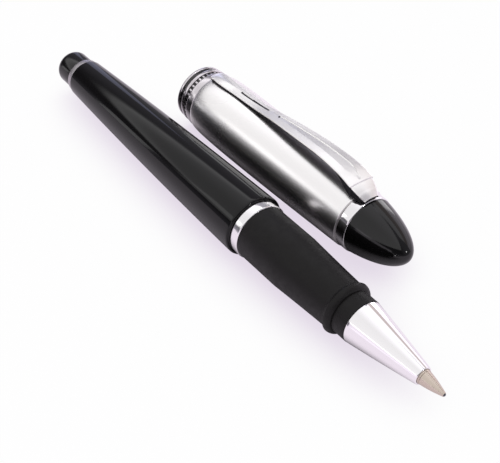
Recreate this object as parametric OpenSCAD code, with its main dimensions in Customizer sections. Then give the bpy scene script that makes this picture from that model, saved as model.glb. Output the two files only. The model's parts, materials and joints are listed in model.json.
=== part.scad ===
// Rollerball pen with its cap off. The pen's axis is the X axis, and its tip points along +X.
// The origin is on that axis, in the face of the centre ring that the cap's mouth stops against.
// The cap lies beside the pen, at +Y.

/* [Barrel] */
// Length of the barrel, from its mouth to the tail ring
barrel_length = 61.4; // [54:0.2:70]
// Radius of the barrel at its mouth
barrel_mouth_r = 6.5; // [6.3:0.05:7.2]
// Radius of the barrel at the tail ring
barrel_tail_r = 4.3; // [3.9:0.05:4.6]
// How far the side of the barrel swells past a straight taper
barrel_swell = 0.26; // [0.1:0.02:0.7]
// Wall of the barrel at its tail
barrel_wall = 0.6; // [0.4:0.05:0.7]
// Rounding of the barrel's mouth edge
barrel_round = 0.5; // [0.2:0.05:0.7]
// Thickness of the wall that closes the barrel's tail
tail_wall = 1.2; // [0.8:0.1:2]
// Outer radius of the thread bush in the barrel's mouth
bush_r = 5.5; // [5.3:0.05:5.6]
// Length of the thread bush
bush_length = 10; // [7:0.5:14]
// How far the bush sits behind the barrel's mouth
bush_inset = 0.8; // [0.4:0.1:2]

/* [Tail] */
// Width of the tail ring
tail_ring_width = 1.45; // [0.8:0.05:2.5]
// Radius of the tail ring
tail_ring_r = 4.05; // [3.8:0.05:4.8]
// Length of the finial
finial_length = 6.1; // [4.5:0.1:8]
// Radius of the finial where it meets the tail ring
finial_r = 3.75; // [3.4:0.05:4.4]
// Rounding of the finial's edge
finial_round = 1.8; // [1:0.1:2.8]
// How far the middle of the finial's end is domed
finial_dome = 0.35; // [0.1:0.05:0.8]
// Radius of the tail screw's shank
tail_screw_r = 1; // [0.8:0.05:1.2]
// Radius of the tail screw's head
tail_head_r = 1.6; // [1.4:0.05:1.7]
// Height of the tail screw's head
tail_head_height = 1; // [0.7:0.1:1.4]
// How far the tail screw reaches into the finial
tail_screw_grip = 3.2; // [2:0.1:3.6]

/* [Tail spring] */
// Length of the spring as fitted
spring_length = 3.4; // [2.8:0.1:6]
// Radius of the coil at the middle of its wire
spring_r = 2.25; // [2.1:0.05:2.5]
// Radius of the spring's wire
spring_wire_r = 0.22; // [0.15:0.01:0.25]
// Number of turns
spring_turns = 4; // [3:0.5:5]

/* [Centre ring and coupler] */
// Width of the centre ring
ring_width = 2.1; // [1.2:0.1:3.5]
// Radius of the centre ring
ring_r = 5.9; // [5.8:0.05:6.3]
// Radius of the coupler's thread crests
coupler_r = 4.7; // [4.5:0.05:4.9]
// How far the coupler reaches into the barrel
coupler_back = 9.4; // [6:0.2:10.6]
// How far the coupler reaches into the grip
coupler_front = 9; // [6:0.2:12]
// Radius of the part of the coupler inside the grip
coupler_grip_r = 4.4; // [4.2:0.05:4.6]

/* [Grip] */
// Length of the grip, from the centre ring to the nose cone
grip_length = 28.5; // [25:0.5:33]
// Radius of the plain land that the cap slides on to
seat_r = 5.65; // [5.5:0.05:5.75]
// Length of that land
seat_length = 10; // [9.5:0.1:12]
// Radius of the waist behind the lip
waist_r = 4.92; // [4.8:0.02:5.1]
// Radius of the lip that stops the fingers
lip_r = 5.36; // [5.2:0.01:5.5]
// Length of the lip
lip_length = 1.6; // [1.4:0.1:3]
// Radius of the collar in front of the lip
collar_r = 4.42; // [4.35:0.01:4.6]
// Length of the collar in front of the lip
collar_length = 3.1; // [1.8:0.1:4]

/* [Nose] */
// Length of the nose cone in front of the grip
nose_length = 15; // [13.5:0.1:17]
// Radius of the nose cone at its base
nose_base_r = 4.4; // [4.3:0.01:4.55]
// Radius of the nose cone at its mouth
nose_front_r = 1.82; // [1.75:0.01:2]
// Radius of the nose cone's screw shank
shank_r = 3.85; // [3.75:0.01:3.95]
// Length of that shank
shank_length = 3.8; // [2.5:0.1:5]

/* [Refill] */
// Radius of the refill
refill_r = 3; // [2.9:0.01:3.05]
// Wall of the refill's tube
refill_wall = 0.3; // [0.2:0.02:0.4]
// Clearance round the refill
refill_gap = 0.25; // [0.15:0.01:0.35]
// Radius of the neck that passes the nose cone's mouth
neck_r = 1.5; // [1.45:0.01:1.55]
// Running clearance round that neck
neck_gap = 0.06; // [0.03:0.01:0.1]
// How far the neck stands out of the nose cone
neck_reach = 0.35; // [0.1:0.05:0.8]
// Length of the neck
neck_length = 3.4; // [2.5:0.1:4]
// Length of the holder's plug inside the tube
holder_plug = 5; // [3:0.5:7]
// Radius of the writing cone at its base
tip_base_r = 1.44; // [1.35:0.01:1.48]
// Length of the writing cone
tip_length = 4.5; // [4:0.1:6]
// How far the side of the writing cone swells
tip_swell = 0.09; // [0.02:0.01:0.15]
// Radius of the writing cone's stem inside the holder
stem_r = 0.9; // [0.8:0.05:1]
// Length of that stem
stem_length = 4; // [2:0.5:6]
// Radius of the writing ball
ball_r = 0.35; // [0.25:0.01:0.4]
// Running clearance round the ball
ball_gap = 0.02; // [0.01:0.005:0.03]
// Radius of the ink wick
wick_r = 0.4; // [0.3:0.02:0.44]
// How far the wick reaches into the ink reservoir
wick_dip = 5; // [3:0.5:8]
// Length of the end plug inside the tube
plug_depth = 3; // [2:0.5:5]
// Thickness of the end plug's flange
plug_flange = 1; // [0.6:0.1:1.5]

/* [Cap] */
// Place of the cap's mouth along the pen
cap_x = -43.2; // [-48:0.1:-38]
// Distance between the axes of cap and pen
cap_y = 16.8; // [16:0.1:24]
// Length of the satin tube
tube_length = 46.5; // [45:0.5:54]
// Radius of the tube beside the mouth band
tube_mouth_r = 6.55; // [6.4:0.05:6.7]
// Radius of the tube at the crown ring
tube_crown_r = 6.32; // [6.25:0.02:6.6]
// How far the side of the tube swells past a straight line
tube_swell = 0.6; // [0.3:0.01:0.7]
// Radius of the bore of the tube
tube_bore_r = 6; // [5.95:0.01:6.05]
// Thickness of the wall that closes the tube
tube_end_wall = 0.6; // [0.4:0.05:1]
// Radius of the bore that slides on the grip's land
cap_bore_r = 5.7; // [5.7:0.01:5.8]
// Radius of the bore of the mouth band
band_bore_r = 5.73; // [5.71:0.01:5.78]

/* [Mouth band] */
// Width of the bead at the rim
bead_rim = 0.7; // [0.5:0.05:1]
// Width of the groove behind it
groove_rim = 0.9; // [0.6:0.05:1.2]
// Width of the middle bead
bead_mid = 0.9; // [0.6:0.05:1.2]
// Width of the groove with the pattern
groove_mid = 1; // [0.8:0.05:1.3]
// Width of the bead beside the tube
bead_tube = 1.9; // [1.2:0.05:2.4]
// Radius of the bead at the rim
bead_rim_r = 6.18; // [6.1:0.01:6.3]
// Radius of the bead beside the tube
bead_tube_r = 6.5; // [6.3:0.01:6.55]
// Radius at the bottom of the grooves
groove_r = 5.92; // [5.88:0.01:5.96]
// Thickness of the enamel in the grooves
enamel = 0.1; // [0.06:0.01:0.14]
// Length of the sleeve of the band inside the tube
sleeve_length = 2; // [1:0.1:3]

/* [Crown] */
// Width of the crown ring
crown_ring_width = 2.5; // [2:0.1:3.5]
// Radius of the crown ring
crown_ring_r = 6.12; // [6.05:0.01:6.3]
// Length of the crown
crown_length = 11.4; // [9:0.2:15]
// Radius of the crown at its base
crown_r = 5.98; // [5.8:0.01:6.1]
// How much fuller the crown is than a plain bullet
crown_fullness = 0.19; // [0.1:0.01:0.26]
// Radius of the crown screw's shank
crown_screw_r = 1.5; // [1.2:0.05:1.8]
// Radius of the crown screw's head
crown_head_r = 2.6; // [2.2:0.05:3]
// Height of the crown screw's head
crown_head_height = 0.8; // [0.5:0.05:1]
// How far the crown screw reaches into the crown
crown_screw_grip = 5; // [3:0.5:7]
// Radius of the clip washer
washer_r = 3.4; // [3.2:0.05:4]
// Thickness of the clip washer
washer_thickness = 0.5; // [0.3:0.05:0.7]

/* [Clip] */
// Turn of the clip round the cap, from straight up towards +Y
clip_turn = 3; // [-10:1:20]
// Length of the clip, from the crown ring's middle to its free end
clip_length = 48.4; // [46:0.2:52]
// Thickness of the clip's arm
clip_thickness = 0.75; // [0.6:0.05:0.85]
// Height of the clip's back over the tube at the top of its arch
clip_arch = 3.5; // [2.8:0.1:4]
// Height of the clip's back over the tube at its waist
clip_low = 0.9; // [0.85:0.05:1.3]
// Gap between the clip's foot and the tube
foot_gap = 0.08; // [0.05:0.01:0.15]
// Width of the clip at its root
clip_root_width = 5.7; // [5:0.1:6.5]
// Width of the clip at its waist
clip_waist_width = 2.9; // [2.4:0.1:3.4]
// Width of the rounded foot at its free end
foot_width = 3.4; // [2.6:0.1:4]
// Length of the rounded foot
foot_length = 7; // [5:0.1:9]
// Length of the root block in front of the crown ring's middle
block_reach = 1.3; // [1:0.1:1.8]
// Gap under the root block
block_gap = 0.25; // [0.2:0.01:0.4]
// Thickness of the tang in the crown ring
tang_thickness = 0.8; // [0.6:0.05:1]
// Width of that tang
tang_width = 3; // [2:0.1:4]
// Depth of that tang in the crown ring
tang_depth = 1.6; // [1:0.1:2.2]
// Clearance round that tang
tang_gap = 0.15; // [0.13:0.01:0.2]

/* [Hidden] */
$fn = 96;

// Clearances between pieces that are fixed to each other, in a thread and at a seat
fit = 0.02;
thread_gap = 0.05;
seat_gap = 0.06;
chamfer = 0.25;
edge_round = 0.3;
liner_lip = 0.1;
steps = 24;

// Stations along the pen
mouth_x = -ring_width;
tail_x = mouth_x - barrel_length;
tail_seat_x = tail_x + tail_wall;
ring_rear_x = tail_x - tail_ring_width;
finial_end_x = ring_rear_x - finial_length;
bush_rear_x = mouth_x - bush_inset - bush_length;
coupler_rear_x = mouth_x - coupler_back;
nose_x = grip_length;
collar_x = nose_x - collar_length;
lip_x = collar_x - lip_length;
shank_x = nose_x - shank_length;
nose_front_x = nose_x + nose_length;

// Stations along the refill
refill_bore_r = refill_r + refill_gap;
tip_x = nose_front_x + neck_reach;
neck_x = tip_x - neck_length;
ball_x = tip_x + tip_length - ball_r / 3;
stem_x = tip_x - stem_length;
nose_slope = (nose_base_r - nose_front_r) / nose_length;
nose_mouth_r = neck_r + neck_gap;
funnel_front_x = neck_x - seat_gap;
funnel_x = funnel_front_x - (refill_bore_r - nose_mouth_r) / nose_slope;
tube_front_x = funnel_x - seat_gap;
holder_rear_x = tube_front_x - holder_plug;
refill_rear_x = tail_seat_x + spring_length;
tube_rear_x = refill_rear_x + plug_flange;
plug_front_x = tube_rear_x + plug_depth;
tube_inner_r = refill_r - refill_wall;
channel_r = wick_r + fit;
wick_front_x = tip_x + tip_length * 0.45;

// Stations along the cap, from its mouth
groove_rim_x = bead_rim;
bead_mid_x = groove_rim_x + groove_rim;
groove_mid_x = bead_mid_x + bead_mid;
bead_tube_x = groove_mid_x + groove_mid;
tube_x = bead_tube_x + bead_tube;
tube_end_x = tube_x + tube_length;
end_wall_x = tube_end_x - tube_end_wall;
liner_x = tube_x + sleeve_length + fit;
crown_x = tube_end_x + crown_ring_width;
washer_x = end_wall_x - washer_thickness;
head_x = washer_x - crown_head_height;
liner_end_x = head_x - liner_lip;
clip_x = tube_end_x + crown_ring_width / 2;
bead_mid_r = (bead_rim_r + bead_tube_r) / 2;
tube_lean = tube_crown_r - tube_mouth_r;
belly_at = pow(2 * tube_swell / (4 * tube_swell - tube_lean), 2);
belly_r = tube_radius(belly_at);
cap_z = belly_r - barrel_mouth_r;

// A side that runs from radius a to radius b and swells by s in its middle
function swell(a, b, s, u) = a + (b - a) * u + 4 * s * u * (1 - u);
function side(x0, x1, a, b, s) =
    [for (i = [0 : steps]) [swell(a, b, s, i / steps), x0 + (x1 - x0) * i / steps]];

// The tube's side swells soonest beside the mouth band, so its swell is read along the root of u
function tube_radius(u) =
    let (v = sqrt(max(u, 0))) tube_mouth_r + tube_lean * u + 4 * tube_swell * v * (1 - v);
function arc(r, x, radius, from, to, count = 8) =
    [for (i = [0 : count]) let (a = from + (to - from) * i / count)
        [r + radius * cos(a), x + radius * sin(a)]];

// A smooth curve through a list of points, read at x
function slope(p, i) =
    let (a = max(i - 1, 0), b = min(i + 1, len(p) - 1))
    (p[b][1] - p[a][1]) / (p[b][0] - p[a][0]);
function span(p, x, i = 0) = i >= len(p) - 2 || x < p[i + 1][0] ? i : span(p, x, i + 1);
function smooth(p, x) =
    let (i = span(p, x), h = p[i + 1][0] - p[i][0], t = (x - p[i][0]) / h)
    p[i][1] * (1 + 2 * t) * pow(1 - t, 2) + slope(p, i) * h * t * pow(1 - t, 2)
    + p[i + 1][1] * t * t * (3 - 2 * t) + slope(p, i + 1) * h * t * t * (t - 1);

// Turns a closed outline of [radius, x] points about the X axis
module turned(outline) {
    rotate([0, 90, 0]) rotate_extrude() polygon(outline);
}

// A plain tube or rod along the X axis
module tube(x0, x1, outer, inner = 0) {
    turned([[inner, x0], [outer, x0], [outer, x1], [inner, x1]]);
}

module at_cap() {
    translate([cap_x, cap_y, cap_z]) children();
}

module barrel() {
    color([0.03, 0.03, 0.03])
    turned(concat(
        [[tail_screw_r + thread_gap, tail_x], [barrel_tail_r - chamfer, tail_x]],
        side(tail_x + chamfer, mouth_x - barrel_round, barrel_tail_r, barrel_mouth_r, barrel_swell),
        arc(barrel_mouth_r - barrel_round, mouth_x - barrel_round, barrel_round, 10, 90),
        [[bush_r + fit, mouth_x], [bush_r + fit, bush_rear_x], [bush_r - edge_round, bush_rear_x],
         [barrel_tail_r - barrel_wall, tail_seat_x], [tail_screw_r + thread_gap, tail_seat_x]]));
}

module barrel_bush() {
    color([0.78, 0.6, 0.28])
    tube(bush_rear_x, mouth_x - bush_inset, bush_r, coupler_r + thread_gap);
}

module tail_ring() {
    color([0.85, 0.85, 0.87])
    turned(concat(
        [[tail_screw_r + thread_gap, ring_rear_x]],
        arc(tail_ring_r - edge_round, ring_rear_x + edge_round, edge_round, -90, 0),
        arc(tail_ring_r - edge_round, tail_x - edge_round, edge_round, 0, 90),
        [[tail_screw_r + thread_gap, tail_x]]));
}

module tail_finial() {
    color([0.04, 0.04, 0.04])
    turned(concat(
        [[0, finial_end_x]],
        arc(finial_r - finial_round, finial_end_x + finial_dome + finial_round, finial_round, -80, 0, 12),
        [[finial_r, ring_rear_x], [tail_screw_r + fit, ring_rear_x],
         [tail_screw_r + fit, ring_rear_x - tail_screw_grip - fit],
         [0, ring_rear_x - tail_screw_grip - fit]]));
}

module tail_screw() {
    slot = 0.4;
    color([0.6, 0.6, 0.62])
    difference() {
        union() {
            tube(ring_rear_x - tail_screw_grip, tail_seat_x, tail_screw_r);
            tube(tail_seat_x, tail_seat_x + tail_head_height, tail_head_r);
        }
        translate([tail_seat_x + tail_head_height - slot, -slot / 2, -tail_head_r - fit])
            cube([slot + fit, slot, 2 * (tail_head_r + fit)]);
    }
}

// One ring of eight points round the wire, at an angle along the coil
function wire_ring(angle, x) =
    [for (k = [0 : 7]) let (r = spring_r + spring_wire_r * cos(45 * k))
        [x + spring_wire_r * sin(45 * k), r * cos(angle), r * sin(angle)]];

module tail_spring() {
    rings = 16 * spring_turns;
    x0 = tail_seat_x + spring_wire_r + fit;
    x1 = refill_rear_x - spring_wire_r - fit;
    points = [for (i = [0 : rings]) each wire_ring(22.5 * i, x0 + (x1 - x0) * i / rings)];
    sides = [for (i = [0 : rings - 1], k = [0 : 7]) let (a = 8 * i + k, b = 8 * i + (k + 1) % 8)
        each [[a, b, b + 8], [a, b + 8, a + 8]]];
    color([0.7, 0.7, 0.72])
    polyhedron(points, concat(
        sides, [[for (k = [7 : -1 : 0]) k]], [[for (k = [0 : 7]) 8 * rings + k]]));
}

module centre_ring() {
    color([0.9, 0.9, 0.92])
    turned(concat(
        [[coupler_r + fit, mouth_x]],
        arc(ring_r - edge_round / 2, mouth_x + edge_round / 2, edge_round / 2, -90, 0),
        arc(ring_r - edge_round / 2, -edge_round / 2, edge_round / 2, 0, 90),
        [[coupler_r + fit, 0]]));
}

module section_coupler() {
    color([0.78, 0.6, 0.28])
    turned([
        [refill_bore_r, coupler_rear_x], [coupler_r - chamfer, coupler_rear_x],
        [coupler_r, coupler_rear_x + chamfer], [coupler_r, 0],
        [coupler_grip_r, 0], [coupler_grip_r, coupler_front], [refill_bore_r, coupler_front]]);
}

module grip_section() {
    lip_half = lip_length / 2;
    step = lip_r - collar_r;
    color([0.07, 0.07, 0.07])
    turned(concat(
        [[coupler_grip_r + fit, 0], [seat_r, 0]],
        side(seat_length, lip_x - lip_half / 2, seat_r, waist_r, -0.03),
        [for (i = [1 : 12]) let (a = 180 * i / 12)
            [waist_r + (lip_r - waist_r) * (1 - cos(a)) / 2, lip_x - lip_half / 2 + lip_half * i / 12]],
        [for (i = [1 : 12]) let (a = 90 * i / 12)
            [collar_r + step * cos(a), lip_x + lip_half / 2 + (lip_length - lip_half / 2) * sin(a)]],
        [[collar_r, nose_x], [shank_r + fit, nose_x], [shank_r + fit, shank_x - fit],
         [refill_bore_r, shank_x - fit], [refill_bore_r, coupler_front + fit],
         [coupler_grip_r + fit, coupler_front + fit]]));
}

module nose_cone() {
    rim = edge_round / 2;
    color([0.9, 0.9, 0.92])
    turned(concat(
        [[refill_bore_r, shank_x], [shank_r, shank_x], [shank_r, nose_x],
         [nose_base_r - rim, nose_x], [nose_base_r, nose_x + rim]],
        side(nose_x + 2 * rim, nose_front_x - rim, nose_base_r - rim * nose_slope, nose_front_r, 0.05),
        [[nose_front_r - rim, nose_front_x], [nose_mouth_r, nose_front_x],
         [nose_mouth_r, funnel_front_x], [refill_bore_r, funnel_x]]));
}

module refill_tube() {
    color([0.82, 0.82, 0.8])
    tube(tube_rear_x, tube_front_x, refill_r, tube_inner_r);
}

module refill_plug() {
    color([0.15, 0.15, 0.16])
    union() {
        tube(refill_rear_x, tube_rear_x, refill_r);
        tube(tube_rear_x, plug_front_x, tube_inner_r - fit);
    }
}

module ink_reservoir() {
    front = holder_rear_x - fit;
    color([0.05, 0.05, 0.08])
    turned([
        [0, plug_front_x + fit], [tube_inner_r - 2 * fit, plug_front_x + fit],
        [tube_inner_r - 2 * fit, front], [channel_r, front],
        [channel_r, front - wick_dip], [0, front - wick_dip]]);
}

module ink_wick() {
    color([0.1, 0.1, 0.12])
    tube(holder_rear_x - wick_dip, wick_front_x, wick_r);
}

module refill_holder() {
    color([0.06, 0.06, 0.06])
    turned([
        [channel_r, holder_rear_x], [tube_inner_r - fit, holder_rear_x],
        [tube_inner_r - fit, tube_front_x], [refill_r, tube_front_x], [refill_r, funnel_x],
        [neck_r, funnel_x + (refill_r - neck_r) / nose_slope], [neck_r, tip_x],
        [stem_r + fit, tip_x], [stem_r + fit, stem_x - fit], [channel_r, stem_x - fit]]);
}

module refill_tip() {
    rim_x = ball_x + ball_r * 0.35;
    cup = ball_r + ball_gap;
    feed_r = ball_r * 0.5;
    color([0.72, 0.68, 0.6])
    difference() {
        turned(concat(
            [[0, stem_x], [stem_r, stem_x], [stem_r, tip_x]],
            side(tip_x, rim_x, tip_base_r, ball_r + 2 * ball_gap, tip_swell),
            [[0, rim_x]]));
        translate([ball_x, 0, 0]) rotate([0, 90, 0]) sphere(r = cup);
        tube(stem_x - fit, wick_front_x + fit, channel_r);
        tube(wick_front_x, ball_x, feed_r);
    }
}

module writing_ball() {
    color([0.45, 0.45, 0.48])
    translate([ball_x, 0, 0]) rotate([0, 90, 0]) sphere(r = ball_r);
}

module cap_tube() {
    color([0.8, 0.79, 0.79])
    at_cap() turned(concat(
        [for (i = [0 : steps]) let (u = pow(i / steps, 2)) [tube_radius(u), tube_x + tube_length * u]],
        [[crown_screw_r + thread_gap, tube_end_x], [crown_screw_r + thread_gap, end_wall_x],
         [tube_bore_r, end_wall_x], [tube_bore_r, tube_x]]));
}

// The outline of one bead, from its low x to its high x
function bead(x0, x1, r) = let (c = edge_round / 2) [[r - c, x0], [r, x0 + c], [r, x1 - c], [r - c, x1]];

module mouth_band() {
    color([0.88, 0.88, 0.9])
    at_cap() turned(concat(
        [[band_bore_r, 0]],
        bead(0, groove_rim_x, bead_rim_r),
        [[groove_r, groove_rim_x], [groove_r, bead_mid_x]],
        bead(bead_mid_x, groove_mid_x, bead_mid_r),
        [[groove_r, groove_mid_x], [groove_r, bead_tube_x]],
        bead(bead_tube_x, tube_x, bead_tube_r),
        [[tube_bore_r - fit, tube_x], [tube_bore_r - fit, tube_x + sleeve_length],
         [band_bore_r, tube_x + sleeve_length]]));
}

module inlay(x0, x1) {
    color([0.05, 0.05, 0.05])
    at_cap() tube(x0 + fit, x1 - fit, groove_r + fit / 2 + enamel, groove_r + fit / 2);
}

module band_inlay_rear() inlay(groove_mid_x, bead_tube_x);
module band_inlay_front() inlay(groove_rim_x, bead_mid_x);

module inner_cap() {
    color([0.1, 0.1, 0.1])
    at_cap() turned([
        [cap_bore_r, liner_x], [tube_bore_r - fit, liner_x], [tube_bore_r - fit, end_wall_x],
        [washer_r + thread_gap, end_wall_x], [washer_r + thread_gap, liner_end_x],
        [cap_bore_r, liner_end_x]]);
}

module crown_ring() {
    slot_x = tang_thickness + 2 * tang_gap;
    slot_y = tang_width + 2 * tang_gap;
    color([0.9, 0.9, 0.92])
    at_cap() difference() {
        turned(concat(
            [[crown_screw_r + thread_gap, tube_end_x]],
            arc(crown_ring_r - edge_round, tube_end_x + edge_round, edge_round, -90, 0),
            arc(crown_ring_r - edge_round, crown_x - edge_round, edge_round, 0, 90),
            [[crown_screw_r + thread_gap, crown_x]]));
        rotate([-clip_turn, 0, 0])
            translate([clip_x - slot_x / 2, -slot_y / 2, crown_ring_r - tang_depth - tang_gap])
                cube([slot_x, slot_y, 2 * tang_depth]);
    }
}

// The radius of the crown at u of its length, from 0 at its base to 1 at its point
function crown_radius(u) = crown_r * sqrt(1 - u) * (1 + crown_fullness * u);

module crown() {
    hole_x = crown_x + crown_screw_grip + fit;
    color([0.04, 0.04, 0.04])
    at_cap() turned(concat(
        [for (i = [0 : steps]) let (u = 1 - pow(1 - i / steps, 2))
            [i == steps ? 0 : crown_radius(u), crown_x + crown_length * u]],
        [[0, hole_x], [crown_screw_r + fit, hole_x], [crown_screw_r + fit, crown_x]]));
}

module crown_screw() {
    slot = 0.6;
    color([0.6, 0.6, 0.62])
    at_cap() difference() {
        union() {
            tube(washer_x, crown_x + crown_screw_grip, crown_screw_r);
            tube(head_x, washer_x, crown_head_r);
        }
        translate([head_x - fit, -slot / 2, -crown_head_r - fit])
            cube([crown_head_height / 2, slot, 2 * (crown_head_r + fit)]);
    }
}

module clip_washer() {
    color([0.65, 0.65, 0.66])
    at_cap() tube(washer_x, end_wall_x, washer_r, crown_screw_r + thread_gap);
}

// The clip is a loft along x, measured from the crown ring's middle. Heights are from the cap's axis.
clip_tip = -clip_length;
foot_x = clip_tip + foot_length / 2;
waist_x = clip_tip + 1.2 * foot_length;
block_x = -1.5 * crown_ring_width / 2;
block_floor = crown_ring_r + block_gap;
clip_half_root = clip_root_width / 2;
function tube_at(x) = tube_radius((x + clip_x - tube_x) / tube_length);
foot_floor = tube_at(foot_x) + foot_gap;

// Along the arm: share of the clip's length from its free end, share of the arch's height, and
// share of the root's width
clip_sweep = [
    [0.32, 0.36, 0.51], [0.44, 0.57, 0.6], [0.6, 0.82, 0.77], [0.76, 0.99, 0.88], [0.88, 0.94, 0.97]];

clip_back = concat(
    [[clip_tip, foot_floor], [clip_tip + 1, foot_floor + clip_low * 0.65],
     [foot_x, tube_at(foot_x) + clip_low * 1.08], [waist_x, tube_at(waist_x) + clip_low]],
    [for (p = clip_sweep) let (x = clip_tip * (1 - p[0])) [x, tube_at(x) + clip_arch * p[1]]],
    [[block_x, block_floor + clip_arch * 0.7], [0, block_floor + clip_arch * 0.45],
     [block_reach, block_floor + clip_arch * 0.15]]);
clip_belly = concat(
    [[clip_tip, foot_floor - 0.15], [foot_x - 0.5, foot_floor],
     [waist_x, tube_at(waist_x) + clip_low - clip_thickness]],
    [for (p = clip_sweep) let (x = clip_tip * (1 - p[0]))
        [x, tube_at(x) + clip_arch * p[1] - clip_thickness]],
    [[block_x, block_floor + 0.1], [0, block_floor], [block_reach, block_floor]]);
clip_half = concat(
    [[clip_tip, 0.3], [clip_tip + 0.9, foot_width * 0.38], [foot_x, foot_width / 2],
     [waist_x, clip_waist_width / 2]],
    [for (p = clip_sweep) [clip_tip * (1 - p[0]), clip_half_root * p[2]]],
    [[block_x, clip_half_root], [0, clip_half_root * 0.86], [block_reach, clip_half_root * 0.66]]);
clip_count = 56;

// One ring of the clip: a flat belly, short sides and a back with a soft ridge
function clip_ring(x) =
    let (w = smooth(clip_half, x), top = smooth(clip_back, x), low = smooth(clip_belly, x),
         t = max(top - low, 0.08), e = min(0.16, t * 0.3), s = min(0.45, t * 0.5))
    [[x, -w * 0.9, low], [x, -w, low + e], [x, -w, top - s], [x, -w * 0.93, top - s * 0.62],
     [x, -w * 0.5, top - s * 0.22], [x, 0, top], [x, w * 0.5, top - s * 0.22],
     [x, w * 0.93, top - s * 0.62], [x, w, top - s], [x, w, low + e], [x, w * 0.9, low]];

module clip() {
    n = 11;
    span_x = clip_length + block_reach;
    points = [for (i = [0 : clip_count])
        each clip_ring(clip_tip + span_x * (1 - cos(180 * i / clip_count)) / 2)];
    sides = [for (i = [0 : clip_count - 1], k = [0 : n - 1])
        let (a = n * i + k, b = n * i + (k + 1) % n)
        each [[a, b, b + n], [a, b + n, a + n]]];
    color([0.9, 0.9, 0.92])
    at_cap() rotate([-clip_turn, 0, 0]) translate([clip_x, 0, 0])
        union() {
            polyhedron(points, concat(
                sides, [[for (k = [n - 1 : -1 : 0]) k]],
                [[for (k = [0 : n - 1]) n * clip_count + k]]));
            translate([-tang_thickness / 2, -tang_width / 2, crown_ring_r - tang_depth])
                cube([tang_thickness, tang_width, tang_depth + block_gap + 0.5]);
        }
}

barrel();
barrel_bush();
tail_ring();
tail_finial();
tail_screw();
tail_spring();
centre_ring();
section_coupler();
grip_section();
nose_cone();
refill_tube();
refill_plug();
ink_reservoir();
ink_wick();
refill_holder();
refill_tip();
writing_ball();
cap_tube();
mouth_band();
band_inlay_rear();
band_inlay_front();
inner_cap();
crown_ring();
crown();
crown_screw();
clip_washer();
clip();
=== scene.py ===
# %% [markdown]
# # A rollerball pen with its cap off
# The pen lies along the X axis with its tip towards +X, and its cap lies beside it at +Y.
# Almost every piece of such a pen is made on a lathe, so most cells below turn an outline about
# the pen's axis. What repeats, such as a thread, a spring and engraved bars, is made with Geometry
# Nodes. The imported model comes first, because the places and outer sizes below are read from it.

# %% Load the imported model
import json
import math

import bmesh
import bpy
from mathutils import Matrix, Quaternion, Vector


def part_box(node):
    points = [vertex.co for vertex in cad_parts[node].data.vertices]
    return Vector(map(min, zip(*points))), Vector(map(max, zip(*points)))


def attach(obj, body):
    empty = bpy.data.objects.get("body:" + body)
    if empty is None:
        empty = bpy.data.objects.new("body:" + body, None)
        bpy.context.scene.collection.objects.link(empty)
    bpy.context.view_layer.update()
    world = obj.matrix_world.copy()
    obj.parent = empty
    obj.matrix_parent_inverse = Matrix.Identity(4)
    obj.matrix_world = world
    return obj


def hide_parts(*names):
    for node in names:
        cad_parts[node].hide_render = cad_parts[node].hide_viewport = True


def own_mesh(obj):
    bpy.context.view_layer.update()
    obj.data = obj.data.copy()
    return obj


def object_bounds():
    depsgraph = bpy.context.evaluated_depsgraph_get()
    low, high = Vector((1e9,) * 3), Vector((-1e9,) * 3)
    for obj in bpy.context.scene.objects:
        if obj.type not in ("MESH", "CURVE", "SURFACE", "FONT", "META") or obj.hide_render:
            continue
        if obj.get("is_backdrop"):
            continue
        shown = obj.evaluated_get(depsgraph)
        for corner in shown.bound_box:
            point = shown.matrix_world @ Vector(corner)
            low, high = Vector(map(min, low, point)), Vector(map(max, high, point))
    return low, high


MM = 0.001
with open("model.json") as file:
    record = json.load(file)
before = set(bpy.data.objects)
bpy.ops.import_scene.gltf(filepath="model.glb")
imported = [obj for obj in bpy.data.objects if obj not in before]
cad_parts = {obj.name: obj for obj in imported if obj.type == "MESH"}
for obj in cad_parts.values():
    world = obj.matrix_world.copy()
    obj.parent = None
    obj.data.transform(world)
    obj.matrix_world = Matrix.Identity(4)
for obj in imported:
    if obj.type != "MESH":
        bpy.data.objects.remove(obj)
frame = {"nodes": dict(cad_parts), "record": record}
cad_low, cad_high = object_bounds()
print("the packed model spans", [round(v / MM, 2) for v in cad_high - cad_low], "mm")


def span(name):
    """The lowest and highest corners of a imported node, in millimetres."""
    low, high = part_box(name)
    return low / MM, high / MM


# %% [markdown]
# ## The camera
# The camera looks down on the pen from in front of its tip, through a long lens as for any small
# object. It aims near the middle of both pieces. The Standard view transform leaves colours as
# they are written. Places and distances are in millimetres here and everywhere below.

# %% Scene, camera and colour handling
scene = bpy.context.scene
scene.view_settings.view_transform = "Standard"
CAMERA_AZIMUTH = math.radians(52.56)
CAMERA_ELEVATION = math.radians(43.09)
CAMERA_DISTANCE = 198.36
CAMERA_AIM = Vector((-1.56, -1.43, 0.0))
LENS = 75.6

back = Vector((
    math.sin(CAMERA_AZIMUTH) * math.cos(CAMERA_ELEVATION),
    -math.cos(CAMERA_AZIMUTH) * math.cos(CAMERA_ELEVATION),
    math.sin(CAMERA_ELEVATION)))
camera = bpy.data.objects.new("camera", bpy.data.cameras.new("camera"))
camera.data.lens = LENS
camera.data.clip_start = 0.01
camera.location = (CAMERA_AIM + back * CAMERA_DISTANCE) * MM
camera.rotation_mode = "QUATERNION"
camera.rotation_quaternion = (-back).to_track_quat("-Z", "Y")
scene.collection.objects.link(camera)
scene.camera = camera
print("camera at", [round(v / MM, 1) for v in camera.location], "mm")


# %% [markdown]
# ## Two small helpers
# Colours are written as on a web page, and shaders want linear light, so one function turns the
# one into the other. Every node below is added by one other function, with its settings and links.

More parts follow.
